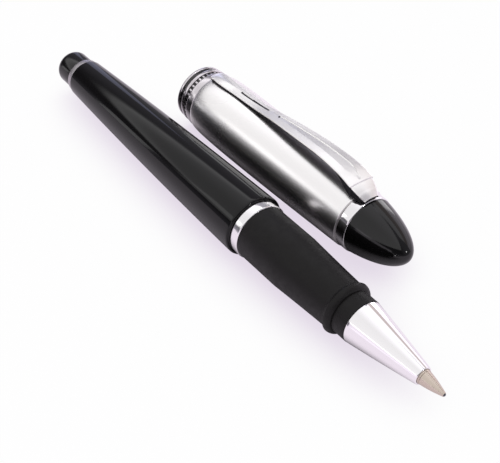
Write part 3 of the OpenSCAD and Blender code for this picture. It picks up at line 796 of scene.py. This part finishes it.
# %% Centre ring
RING_BORE_R = 4.72
low, high = span("centre_ring")
centre_ring = turn("centre_ring_plated", washer(low.x, high.x, RING_BORE_R, high.z, 0.3),
                   soft_chrome)
fit(centre_ring, "section", "bright_chrome", "centre_ring")

# %% The grip's lip: it rises gently from the waist, and rounds off in front to the collar
WAIST_R = 4.92
LIP_R = 5.36
LIP_LENGTH = 1.6
LIP_STEPS = 20
COLLAR_R = 4.42
COLLAR_LENGTH = 3.1
nose_x = span("grip_section")[1].x
lip_x = nose_x - COLLAR_LENGTH - LIP_LENGTH
rise = LIP_LENGTH / 2
lip = []
for step in range(1, LIP_STEPS + 1):
    angle = math.pi * step / LIP_STEPS
    lip.append((lip_x - rise / 2 + rise * step / LIP_STEPS,
                WAIST_R + (LIP_R - WAIST_R) * (1 - math.cos(angle)) / 2))
for step in range(1, LIP_STEPS + 1):
    angle = math.pi / 2 * step / LIP_STEPS
    lip.append((lip_x + rise / 2 + (LIP_LENGTH - rise / 2) * math.sin(angle),
                COLLAR_R + (LIP_R - COLLAR_R) * math.cos(angle)))
print("the lip starts at", round(lip_x, 1), "mm")

# %% Grip
SEAT_R = 5.65
SEAT_LENGTH = 10.0
GRIP_SWELL = -0.03
COUPLER_BORE_R = 4.42
COUPLER_DEPTH = 9.02
SHANK_BORE_R = 3.87
SHANK_DEPTH = 3.82
shank_x = nose_x - SHANK_DEPTH
outline = rounded(
    [(0, COUPLER_BORE_R), (0, SEAT_R, 0.15)]
    + swelled(SEAT_LENGTH, lip_x - rise / 2, SEAT_R, WAIST_R, GRIP_SWELL, 30) + lip
    + [(nose_x, COLLAR_R, 0.1), (nose_x, SHANK_BORE_R), (shank_x, SHANK_BORE_R),
       (shank_x, BORE_R), (COUPLER_DEPTH, BORE_R), (COUPLER_DEPTH, COUPLER_BORE_R)])
grip = turn("grip_moulding", outline, soft_black)
fit(grip, "section", "soft_black", "grip_section")

# %% [markdown]
# ## The nose cone
# A turned and plated cone, screwed into the grip. Its side swells by a hair, so its reflections
# run in long wedges towards the tip.

# %% Nose cone
SHANK_R = 3.85
NOSE_SWELL = 0.05
MOUTH_DEPTH = 3.11
low, high = span("nose_cone")
nose_base_r = high.z
slope = (nose_base_r - NOSE_FRONT_R) / (high.x - nose_x)
mouth_end_x = high.x - MOUTH_DEPTH
outline = rounded(
    [(low.x, BORE_R), (low.x, SHANK_R, 0.15), (nose_x, SHANK_R), (nose_x, nose_base_r, 0.2)]
    + swelled(nose_x, high.x, nose_base_r, NOSE_FRONT_R, NOSE_SWELL, 30)[1:-1]
    + [(high.x, NOSE_FRONT_R, 0.18), (high.x, NOSE_MOUTH_R), (mouth_end_x, NOSE_MOUTH_R),
       (mouth_end_x - (BORE_R - NOSE_MOUTH_R) / slope, BORE_R)])
nose = turn("nose_cone_plated", outline, chrome, turns=FINE_TURNS)
fit(nose, "section", "bright_chrome", "nose_cone")

# %% [markdown]
# ## The writing tip
# The cone of a rollerball is turned from nickel silver. Its rim is rolled in over a carbide ball.
# The cone is one more outline, with a socket in its end. The ball is a plain sphere, which is just
# what it is, and it's finished as a ground one.

# %% Writing cone
TIP_STEM_R = 0.9
TIP_BASE_R = 1.44
TIP_SWELL = 0.09
TIP_RIM = 0.04
TIP_TURNS = 96
low, high = span("refill_tip")
ball_low, ball_high = span("writing_ball")
ball_r = ball_high.z
ball_x = (ball_low.x + ball_high.x) / 2
socket_r, socket_x = ball_r * 0.9, ball_x - ball_r * 0.7
outline = (
    [(low.x, 0.0), (low.x, TIP_STEM_R), (tip_x, TIP_STEM_R)]
    + rounded([(tip_x, TIP_STEM_R), (tip_x, TIP_BASE_R, 0.12)]
              + swelled(tip_x, high.x, TIP_BASE_R, ball_r + TIP_RIM, TIP_SWELL, 30)[1:]
              + [(high.x, socket_r), (socket_x, socket_r)])[1:]
    + [(socket_x, 0.0)])
cone = turn("writing_cone", outline, nickel_silver, turns=TIP_TURNS)
fit(cone, "refill", "nickel_silver", "refill_tip")

# %% Ball
bm = bmesh.new()
bmesh.ops.create_uvsphere(bm, u_segments=32, v_segments=20, radius=ball_r * MM,
                          matrix=Matrix.Translation((ball_x * MM, 0, 0)))
ball = link_mesh("ground_ball", bm, carbide)
fit(ball, "ball", "carbide", "writing_ball")

# %% [markdown]
# ## The cap
# A cap is a thin drawn tube. Its side swells, most of all a quarter of the way from the mouth
# band, and that bends the long reflections, which a straight cylinder would miss. Its front is
# closed by a wall that the crown is screwed to.

# %% The cap's axis, read from its crown ring
crown_ring_low, crown_ring_high = span("crown_ring")
CAP_AXIS = ((crown_ring_low.y + crown_ring_high.y) / 2,
            (crown_ring_low.z + crown_ring_high.z) / 2)
crown_ring_r = (crown_ring_high.y - crown_ring_low.y) / 2
print("the cap's axis lies at", [round(v, 2) for v in CAP_AXIS], "mm in Y and Z")

# %% Cap tube
TUBE_MOUTH_R = 6.55
TUBE_CROWN_R = 6.32
TUBE_SWELL = 0.6
TUBE_BORE_R = 6.0
TUBE_STEPS = 60
END_WALL = 0.6
CROWN_HOLE_R = 1.55
low, high = span("cap_tube")
tube_x, tube_end_x = low.x, high.x


def tube_radius(u):
    """The tube's radius at a share of its length. It swells fastest beside the mouth band."""
    v = math.sqrt(max(u, 0))
    return TUBE_MOUTH_R + (TUBE_CROWN_R - TUBE_MOUTH_R) * u + 4 * TUBE_SWELL * v * (1 - v)


shares = [(i / TUBE_STEPS) ** 2 for i in range(2, TUBE_STEPS)]
outline = rounded(
    [(tube_x, TUBE_BORE_R), (tube_x, TUBE_MOUTH_R, 0.05)]
    + [(tube_x + (tube_end_x - tube_x) * u, tube_radius(u)) for u in shares]
    + [(tube_end_x, TUBE_CROWN_R, 0.18), (tube_end_x, CROWN_HOLE_R),
       (tube_end_x - END_WALL, CROWN_HOLE_R), (tube_end_x - END_WALL, TUBE_BORE_R)])
cap_tube = turn("cap_tube_satin", outline, satin_metal, CAP_AXIS, FINE_TURNS)
fit(cap_tube, "cap", "satin_metal", "cap_tube")

# %% [markdown]
# ### The mouth band
# The band stiffens the cap's mouth. It is turned as one ring with three rounded beads, and the two
# grooves between them are filled with black enamel. Each bead needs a true round, because the
# light runs along its edge.

# %% Mouth band: beads and grooves from the rim to the tube
BEADS = [(0.0, 0.7, 6.18), (1.6, 2.5, 6.34), (3.5, 5.4, 6.5)]    # start, end and radius
BEAD_ROUND = 0.34
GROOVE_R = 5.92
SLEEVE_R = 5.98
SLEEVE_LENGTH = 7.4
BAND_BORE_R = 5.73
rim_x = span("mouth_band")[0].x
corners = []
for start, end, radius in BEADS:
    corners += [(rim_x + start, GROOVE_R), (rim_x + start, radius, BEAD_ROUND),
                (rim_x + end, radius, BEAD_ROUND), (rim_x + end, GROOVE_R)]
# The first bead starts at the bore and the last one ends at the sleeve, so neither has a groove.
corners = [(rim_x, BAND_BORE_R, 0.12)] + corners[1:-1]
corners += [(rim_x + end, SLEEVE_R), (rim_x + SLEEVE_LENGTH, SLEEVE_R),
            (rim_x + SLEEVE_LENGTH, BAND_BORE_R)]
band = turn("mouth_band_plated", rounded(corners, 8), band_plating, CAP_AXIS)
fit(band, "cap", "bright_chrome", "mouth_band")

# %% Enamel in both grooves
ENAMEL_DEPTH = 0.1
for node in ("band_inlay_front", "band_inlay_rear"):
    low, high = span(node)
    radius = (high.y - low.y) / 2
    outline = washer(low.x, high.x, radius - ENAMEL_DEPTH, radius, 0.05)
    inlay = turn(node + "_enamel", outline, black_enamel, CAP_AXIS)
    fit(inlay, "cap", "black_enamel", node)

# %% [markdown]
# ### The band's pattern
# The rear groove carries a ring of small upright bars, which stand for the engraving that such a
# band has. They are one bar repeated evenly: points on a circle, an instance on each, turned to
# face outwards.

# %% Bars in the rear groove
def bar_ring(name, axis, radius, sizes, material):
    """A ring of small bars about the line y, z = axis, at x and radius, all in mm."""
    values = {"Place X": sizes["x"] * MM, "Place Y": axis[0] * MM, "Place Z": axis[1] * MM,
              "Radius": radius * MM, "Length": sizes["length"] * MM, "Width": sizes["width"] * MM,
              "Height": sizes["height"] * MM, "Count": sizes["count"]}
    tree, size = sized_tree(name, values)
    circle = add(tree, "GeometryNodeMeshCircle", {
        "Vertices": size["Count"], "Radius": size["Radius"]})
    bar_size = add(tree, "ShaderNodeCombineXYZ", {
        0: size["Height"], 1: size["Width"], 2: size["Length"]})
    bar = add(tree, "GeometryNodeMeshCube", {"Size": bar_size.outputs[0]})
    outwards = add(tree, "GeometryNodeInputPosition")
    facing = add(tree, "FunctionNodeAlignRotationToVector", {
        "Vector": outwards.outputs[0]}, axis="X")
    ring = add(tree, "GeometryNodeInstanceOnPoints", {
        "Points": circle.outputs[0], "Instance": bar.outputs[0], "Rotation": facing.outputs[0]})
    where = add(tree, "ShaderNodeCombineXYZ", {
        0: size["Place X"], 1: size["Place Y"], 2: size["Place Z"]})
    laid = add(tree, "GeometryNodeTransform", {
        "Geometry": ring.outputs[0], "Translation": where.outputs[0],
        "Rotation": (0, math.pi / 2, 0)})
    return kept(name, tree, laid.outputs[0], values, material)


groove_low, groove_high = span("band_inlay_rear")
enamel_r = (groove_high.y - groove_low.y) / 2
bars = bar_ring("mouth_band_bars", CAP_AXIS, enamel_r, {
    "x": (groove_low.x + groove_high.x) / 2, "length": 0.8, "width": 0.36, "height": 0.16,
    "count": 38}, band_plating)
fit(bars, "cap", "bright_chrome")

# %% [markdown]
# ### The inner cap
# A dark moulded liner fills the tube from the band to the crown. Its bore grips the pen, and it
# keeps the air from drying the tip. It shows in the cap's mouth.

# %% Inner cap
LINER_BORE_R = 5.7
LINER_END_WALL = 1.4
WASHER_HOLE_R = 3.45
low, high = span("inner_cap")
liner_r = (high.y - low.y) / 2
liner_end = high.x - LINER_END_WALL
liner = turn("inner_cap_moulded", rounded([
    (low.x, LINER_BORE_R, 0.12), (low.x, liner_r), (high.x, liner_r),
    (high.x, WASHER_HOLE_R), (liner_end, WASHER_HOLE_R), (liner_end, LINER_BORE_R, 0.3)]),
    dark_plastic, CAP_AXIS)
fit(liner, "cap", "dark_plastic", "inner_cap")

# %% [markdown]
# ### The crown ring
# A plated ring parts tube and crown. The clip's tang goes into a slot in its top. The slot is cut
# with a Boolean modifier, whose result is kept as a mesh.

# %% The clip's own frame, turned a little away from the pen
CLIP_TURN = math.radians(3)
clip_middle = (crown_ring_low.x + crown_ring_high.x) / 2


def on_cap(x, across, height):
    """A point of the clip's frame in metres: x from the ring's middle, height from the axis."""
    return Vector((
        clip_middle + x,
        CAP_AXIS[0] + height * math.sin(CLIP_TURN) + across * math.cos(CLIP_TURN),
        CAP_AXIS[1] + height * math.cos(CLIP_TURN) - across * math.sin(CLIP_TURN))) * MM


def block(bm, half_length, half_width, floor, roof):
    """Adds a closed box about the clip's root to a mesh."""
    made = bmesh.ops.create_cube(bm, size=2.0)["verts"]
    for vert in made:
        side = vert.co
        height = roof if side.z > 0 else floor
        vert.co = on_cap(side.x * half_length, side.y * half_width, height)


print("the clip's root stands at x =", round(clip_middle, 2), "mm")

# %% Crown ring, with the slot that takes the clip's tang
TANG = (0.4, 1.5)    # half of its length and half of its width
TANG_DEPTH = 1.6
TANG_GAP = 0.15
outline = washer(
    crown_ring_low.x, crown_ring_high.x, CROWN_HOLE_R, crown_ring_r, 0.4, 8)
crown_ring = turn("crown_ring_plated", outline, chrome, CAP_AXIS)
bm = bmesh.new()
block(bm, TANG[0] + TANG_GAP, TANG[1] + TANG_GAP, crown_ring_r - TANG_DEPTH - TANG_GAP,
      crown_ring_r + TANG_DEPTH)
cutter = link_mesh("slot_cutter", bm, chrome)
slot = crown_ring.modifiers.new("slot", "BOOLEAN")
slot.object = cutter
applied(crown_ring)
bpy.data.objects.remove(cutter)
fit(crown_ring, "cap", "bright_chrome", "crown_ring")

# %% [markdown]
# ### The crown
# The crown is moulded and polished. Its outline follows a rule: the radius falls as a square root
# towards the point, a little fuller in the middle. Steps that get shorter towards the point keep
# that end smooth.

# %% Crown: a bullet whose radius falls as a square root towards its point
CROWN_FULLNESS = 0.19
CROWN_STEPS = 48
low, high = span("crown")
crown_r = (high.y - low.y) / 2
side = []
for i in range(1, CROWN_STEPS):
    u = 1 - (1 - i / CROWN_STEPS) ** 2
    side.append((low.x + (high.x - low.x) * u,
                 crown_r * math.sqrt(1 - u) * (1 + CROWN_FULLNESS * u)))
outline = rounded([(low.x, 0.0), (low.x, crown_r, 0.16)] + side) + [(high.x, 0.0)]
crown = turn("crown_polished", outline, black_moulding, CAP_AXIS, FINE_TURNS)
fit(crown, "cap", "black_moulding", "crown")

# %% [markdown]
# ## The clip
# The clip is one strip of spring steel, stamped, bent and plated. From a rounded foot that rests
# on the tube it narrows to a waist, arches up as it widens, and folds down into a root block over
# the crown ring. A ridge runs along the waist, and a shallow tapered panel is sunk in the arch. It
# is made as a loft: one section of the strip is computed at each place along it, and the sections
# are skinned. A bevelled curve could do the waist, but not the panel.

# %% Curves that are read along the clip
def through(points):
    """A smooth curve through (x, value) points, as a function of x."""
    def slope_at(i):
        a, b = points[max(i - 1, 0)], points[min(i + 1, len(points) - 1)]
        return (b[1] - a[1]) / (b[0] - a[0])

    def read(x):
        i = 0
        while i < len(points) - 2 and x >= points[i + 1][0]:
            i += 1
        (x0, y0), (x1, y1) = points[i], points[i + 1]
        h = x1 - x0
        t = (x - x0) / h
        return (y0 * (1 + 2 * t) * (1 - t) ** 2 + slope_at(i) * h * t * (1 - t) ** 2
                + y1 * t * t * (3 - 2 * t) + slope_at(i + 1) * h * t * t * (t - 1))
    return read


def tube_at(x):
    """The cap tube's radius under the clip."""
    return tube_radius((x + clip_middle - tube_x) / (tube_end_x - tube_x))


def held(value, low, high):
    """The value, held between two limits."""
    return max(low, min(high, value))


tube_middle = (tube_x + tube_end_x) / 2 - clip_middle
print("the tube's radius in its middle:", round(tube_at(tube_middle), 2), "mm")

# %% The clip's guide curves, in millimetres from the crown ring's middle
CLIP_THICKNESS = 0.75
CLIP_ARCH = 3.5
CLIP_LOW = 0.9
HALF_ROOT = 2.85
HALF_WAIST = 1.45
HALF_FOOT = 1.7
FOOT_LENGTH = 7.0
FOOT_GAP = 0.08    # between the foot and the tube
BLOCK_GAP = 0.25    # between the root block and the crown ring
BLOCK_X = -1.875    # where the arch folds down to the block
low, high = span("clip")
tip, reach = low.x - clip_middle, high.x - clip_middle
foot = tip + FOOT_LENGTH / 2
waist = tip + 1.2 * FOOT_LENGTH
foot_floor = tube_at(foot) + FOOT_GAP
block_floor = crown_ring_r + BLOCK_GAP
# Along the arch: a share of the length, then shares of the arch's height and the root's width.
SWEEP = [(0.32, 0.36, 0.51), (0.44, 0.57, 0.6), (0.6, 0.82, 0.77), (0.76, 0.99, 0.88),
         (0.88, 0.94, 0.97)]
# How far the back is crowned over its edges, at places from the waist's end to the block.
CROWNING = [(-30, 0.36), (-22, 0.34), (-8, 0.28), (-3, 0.16)]
sweep = [(tip * (1 - share), rise, wide) for share, rise, wide in SWEEP]
back_height = through(
    [(tip, foot_floor), (tip + 1, foot_floor + CLIP_LOW * 0.65),
     (foot, tube_at(foot) + CLIP_LOW * 1.08), (waist, tube_at(waist) + CLIP_LOW)]
    + [(x, tube_at(x) + CLIP_ARCH * rise) for x, rise, wide in sweep]
    + [(BLOCK_X, block_floor + CLIP_ARCH * 0.7), (0, block_floor + CLIP_ARCH * 0.45),
       (reach, block_floor + CLIP_ARCH * 0.15)])
belly_height = through(
    [(tip, foot_floor - 0.15), (foot - 0.5, foot_floor),
     (waist, tube_at(waist) + CLIP_LOW - CLIP_THICKNESS)]
    + [(x, tube_at(x) + CLIP_ARCH * rise - CLIP_THICKNESS) for x, rise, wide in sweep]
    + [(BLOCK_X, block_floor + 0.1), (0, block_floor), (reach, block_floor)])
half_width = through(
    [(tip, 0.3), (tip + 0.9, 2 * HALF_FOOT * 0.38), (foot, HALF_FOOT), (waist, HALF_WAIST)]
    + [(x, HALF_ROOT * wide) for x, rise, wide in sweep]
    + [(BLOCK_X, HALF_ROOT), (0, HALF_ROOT * 0.86), (reach, HALF_ROOT * 0.66)])
dome = through([(tip, 0.1), (foot, 0.4), (waist, 0.4)] + CROWNING + [(reach, 0.3)])


def outline_at(x):
    """Half of the clip's width, with a half-round end at its foot."""
    into = held((x - tip) / HALF_FOOT, 0, 1)
    return max(0.1, half_width(x) if into == 1 else HALF_FOOT * math.sqrt(into * (2 - into)))


print("the back's height at foot, waist and arch:",
      [round(back_height(x), 2) for x in (foot, waist, sweep[3][0])])


# %% The sunk panel and the scored line
# The panel has its point in front of the waist, is widest near the root, and ends in a short V.
PANEL_START, PANEL_WIDEST, PANEL_END = -26.5, -5.2, -2.3
PANEL_HALF = 0.95
PANEL_DEPTH = 0.14
PANEL_WALL = 0.1
PANEL_POINT = 0.25
PANEL_STEP = 0.3
# A fine line is scored along the waist, and fades out before the panel's point.
SCORE_START, SCORE_END = tip + 9.7, tip + 20.5
SCORE_HALF = 0.24
SCORE_FADE_IN, SCORE_FADE_OUT = 0.8, 6


def panel_half(x):
    """Half of the panel's width."""
    if x < PANEL_WIDEST:
        along = held((x - PANEL_START) / (PANEL_WIDEST - PANEL_START), 0, 1)
        return PANEL_POINT + (PANEL_HALF - PANEL_POINT) * along ** 0.7
    return PANEL_HALF * held((PANEL_END - x) / (PANEL_END - PANEL_WIDEST), 0, 1)


def sunk(x):
    """How deep the scored line or the panel lies at x, as a share of the panel's depth."""
    line = (held((x - SCORE_START) / SCORE_FADE_IN, 0, 1)
            * held((SCORE_END - x) / SCORE_FADE_OUT, 0, 1))
    bay = held((x - PANEL_START) / PANEL_STEP, 0, 1) * held(panel_half(x) / PANEL_POINT, 0, 1)
    return max(line, bay)


print("the line runs from", round(SCORE_START, 1), "to", round(SCORE_END, 1), "mm")
print("the panel runs from", PANEL_START, "to", PANEL_END, "mm")


# %% One section across the clip
FOLD_LENGTH = 0.12
STEP_DOWN = 0.2
STEP_FADE = 1.5
RIDGE_FADE = 3
EDGE_ROUND = 0.3
LEAST_THICKNESS = 0.12
ROUND_STEPS = 8


def section(x):
    """Half of the clip's section at x: (across, height) points from the belly to the ridge."""
    wide, top, floor = outline_at(x), back_height(x), belly_height(x)
    folded = held((x - BLOCK_X) / FOLD_LENGTH, 0, 1)
    top -= STEP_DOWN * folded * held((reach - x) / STEP_FADE, 0, 1)
    wide -= STEP_DOWN * folded
    top = max(top, floor + LEAST_THICKNESS)
    round_r = min(EDGE_ROUND, (top - floor) * 0.45, wide * 0.4)
    crest = dome(x)
    ridge = (held((x - foot - 1) / RIDGE_FADE, 0, 1)
             * held((PANEL_START + 1 - x) / RIDGE_FADE, 0, 1))

    def skin(across):
        """The back's height, with a straight-sided ridge at the waist and a dome elsewhere."""
        out = across / wide
        return top - min(crest, (top - floor) * 0.5) * (ridge * out + (1 - ridge) * out ** 2)

    if x < SCORE_END:
        run = held((x - SCORE_START) / (SCORE_END - SCORE_START), 0, 1)
        channel = SCORE_HALF * (1 - 0.5 * run)
    else:
        channel = max(panel_half(x), PANEL_POINT)
    channel = min(channel, wide * 0.6)
    share = sunk(x)

    def bed(across):
        """The height of the floor of the line or the panel."""
        return (1 - share) * skin(across) + share * (skin(channel) - PANEL_DEPTH)

    shoulder = wide - round_r
    inner = channel + min(PANEL_WALL, channel * 0.4, wide * 0.1)
    points = [(0.0, floor), (wide * 0.5, floor), (wide * 0.94, floor), (wide, floor + 0.1)]
    drop = skin(shoulder)
    for step in range(ROUND_STEPS + 1):
        angle = math.pi / 2 * step / ROUND_STEPS
        points.append((shoulder + round_r * math.cos(angle),
                       drop - round_r * (1 - math.sin(angle))))
    points += [((shoulder + inner) / 2, skin((shoulder + inner) / 2)), (inner, skin(inner)),
               (channel, bed(channel)), (channel * 0.5, bed(channel * 0.5)), (0.0, bed(0))]
    return points


print("half of a section has", len(section(waist)), "points")

# %% Where the sections stand: close together at the foot and at the fold
FOOT_END = 1.5
FOLD_LEAD = 0.5
places = [tip + FOOT_END * (1 - math.cos(math.pi / 2 * i / 10)) for i in range(10)]
places += [tip + FOOT_END + (BLOCK_X - FOLD_LEAD - tip - FOOT_END) * i / 90 for i in range(90)]
places += [BLOCK_X - FOLD_LEAD + (reach - BLOCK_X + FOLD_LEAD) * i / 30 for i in range(31)]
places += [BLOCK_X, BLOCK_X + FOLD_LENGTH, PANEL_START, PANEL_WIDEST, PANEL_END]
places += [PANEL_START + PANEL_STEP, SCORE_START, SCORE_START + SCORE_FADE_IN, SCORE_END]
print(len(places), "sections, from", round(min(places), 1), "to", round(max(places), 1), "mm")

# %% Clip: the sections skinned, with the tang that goes into the ring's slot
CLIP_SHARP = math.radians(14)
TANG_REACH = 0.3
bm = bmesh.new()
rings = []
for x in sorted(places):
    right = section(x)
    left = [(-across, height) for across, height in reversed(right[1:-1])]
    rings.append([bm.verts.new(on_cap(x, *point)) for point in right + left])
for a, b in zip(rings, rings[1:]):
    for k in range(len(a)):
        n = (k + 1) % len(a)
        bm.faces.new((a[k], a[n], b[n], b[k]))
bm.faces.new(rings[0])
bm.faces.new(rings[-1])
block(bm, *TANG, crown_ring_r - TANG_DEPTH, block_floor + TANG_REACH)
clip = link_mesh("clip_stamped", bm, chrome_strip, CLIP_SHARP)

# %% The clip's faces with painted shade
# Faces that turn down or sideways, the scored line and the panel's first edge get a dark grey:
# painted shade under the clip, on its sides and in its sunk lines.
PAINTED_SHADE_SLOPE = 0.2
BRIGHT_END = 1.5
clip.data.materials.append(clip_painted_shade)
for face in clip.data.polygons:
    place = face.center / MM
    x = place.x - clip_middle
    across = ((place.y - CAP_AXIS[0]) * math.cos(CLIP_TURN)
              - (place.z - CAP_AXIS[1]) * math.sin(CLIP_TURN))
    scored = SCORE_START < x < SCORE_END - BRIGHT_END and abs(across) < SCORE_HALF
    edge = PANEL_START < x < PANEL_START + PANEL_STEP and abs(across) < PANEL_POINT
    # These faces get the dark grey: painted shade.
    if face.normal.z < PAINTED_SHADE_SLOPE or scored or edge:
        face.material_index = 1
fit(clip, "clip", "bright_chrome", "clip")

# %% [markdown]
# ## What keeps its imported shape
# The bush, the screws, the washer, the ink fibre and the wick are plain turned pieces that sit
# inside others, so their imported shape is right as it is. They only get their finishes. The hidden
# nodes that the pieces above stand for get them too, which does no harm.

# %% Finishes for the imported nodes
for entry in frame["record"]["subparts"]:
    packed = frame["nodes"][entry["node"]]
    for place in packed.material_slots:
        place.material = MATERIALS[entry["material_slot"]]

# %% [markdown]
# ## The dressed model's size
# Its box is printed here, as the imported model's box is printed near the top. The dressed
# model has to stay in the imported model's box.

# %% Sizes, then the end
low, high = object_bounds()
print("the dressed model spans", [round(v / MM, 2) for v in high - low], "mm")
